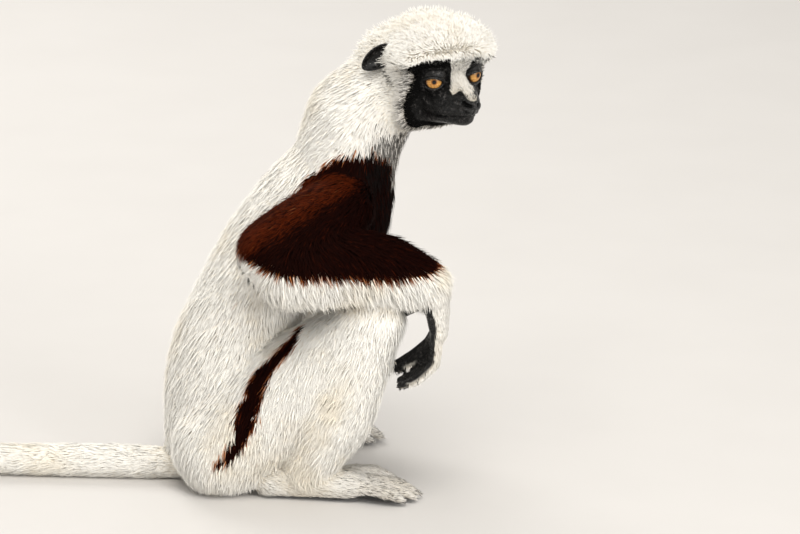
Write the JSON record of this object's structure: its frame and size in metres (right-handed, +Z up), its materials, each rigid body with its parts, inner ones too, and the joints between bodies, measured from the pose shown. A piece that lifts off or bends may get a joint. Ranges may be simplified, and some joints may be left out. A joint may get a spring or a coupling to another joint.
{
  "type": "Coquerel's sifaka, still life-size model",
  "caption": "Life-size Coquerel's sifaka sitting on its haunches, long feet flat, forearm across the raised knee and head turned aside, with its tail laid behind it.",
  "frame": {"origin": "on the floor, in the middle of the flat under the rump", "axes": "+X the way the body faces, +Y to the animal's left, +Z up"},
  "size_m": [0.7824, 0.2431, 0.4127],
  "materials": {
    "cream_coat": "soft deep fur",
    "maroon_coat": "soft deep fur",
    "grey_coat": "short fur",
    "bare_skin": "satin",
    "eyes": "gloss",
    "nails": "satin"
  },
  "bodies": {
    "root": {"head": "cream_coat", "muzzle": "bare_skin", "jaw": "bare_skin", "neck": "cream_coat", "chest": "maroon_coat", "hips": "cream_coat", "tail_1": "cream_coat", "tail_2": "cream_coat", "tail_3": "cream_coat", "tail_4": "cream_coat", "ear_R": "bare_skin", "eye_R": "eyes", "upper_arm_R": "maroon_coat", "forearm_R": "maroon_coat", "hand_R": "grey_coat", "thumb_R": "grey_coat", "thigh_R": "cream_coat", "shin_R": "cream_coat", "foot_R": "grey_coat", "great_toe_R": "grey_coat", "ear_L": "bare_skin", "eye_L": "eyes", "upper_arm_L": "maroon_coat", "forearm_L": "maroon_coat", "hand_L": "grey_coat", "thumb_L": "grey_coat", "thigh_L": "cream_coat", "shin_L": "cream_coat", "foot_L": "grey_coat", "great_toe_L": "grey_coat"}
  },
  "joints": []
}
